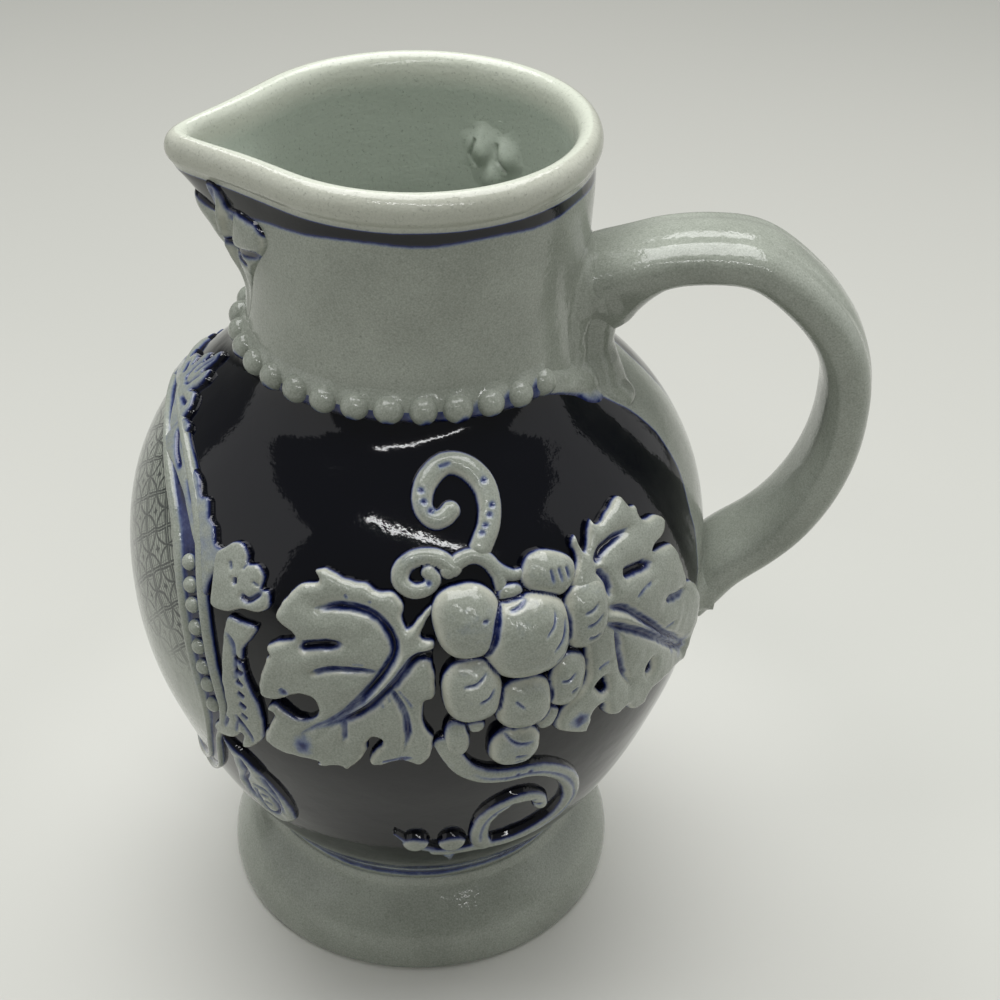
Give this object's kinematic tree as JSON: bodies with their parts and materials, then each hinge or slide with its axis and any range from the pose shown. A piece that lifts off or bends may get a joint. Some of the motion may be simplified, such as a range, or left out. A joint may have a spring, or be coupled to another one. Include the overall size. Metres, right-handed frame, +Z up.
{
  "type": "stoneware pitcher",
  "caption": "Salt-glazed stoneware jug with a bellied body, pulled spout, strap handle, pedestal foot, cobalt ground and applied grape-vine relief.",
  "frame": {"origin": "under the middle of the jug's length from spout to handle, in the plane that the foot ring stands on; the jug's axis is 13.1 mm towards the spout", "axes": "+Z up the jug's axis; +X towards the handle, -X towards the spout and the medallion; the pictured grape relief faces -Y"},
  "size_m": [0.1316, 0.1116, 0.16],
  "materials": {
    "cobalt_ground_glaze": "gloss cobalt glaze over grey stoneware",
    "grey_stoneware_glaze": "thin grey-green salt glaze"
  },
  "bodies": {
    "root": {"vessel": "cobalt_ground_glaze", "foot_ring": "grey_stoneware_glaze", "handle": "grey_stoneware_glaze", "neck_wad": "grey_stoneware_glaze", "bead_collar": "grey_stoneware_glaze", "grape_bunch_right": "grey_stoneware_glaze", "grape_bunch_left": "grey_stoneware_glaze", "leaf_front_right": "grey_stoneware_glaze", "leaf_front_left": "grey_stoneware_glaze", "leaf_rear_right": "grey_stoneware_glaze", "leaf_rear_left": "grey_stoneware_glaze", "tendril_hook_right": "grey_stoneware_glaze", "tendril_hook_left": "grey_stoneware_glaze", "tendril_curl_right": "grey_stoneware_glaze", "tendril_curl_left": "grey_stoneware_glaze", "tendril_arch_right": "grey_stoneware_glaze", "tendril_arch_left": "grey_stoneware_glaze", "vine_tail_right": "grey_stoneware_glaze", "vine_tail_left": "grey_stoneware_glaze", "medallion_frame": "grey_stoneware_glaze", "medallion_crest": "grey_stoneware_glaze", "medallion_bud_right": "grey_stoneware_glaze", "medallion_bud_left": "grey_stoneware_glaze", "medallion_scroll_right": "grey_stoneware_glaze", "medallion_scroll_left": "grey_stoneware_glaze", "medallion_drop_right": "grey_stoneware_glaze", "medallion_drop_left": "grey_stoneware_glaze", "spout_leaf": "grey_stoneware_glaze"}
  },
  "joints": []
}
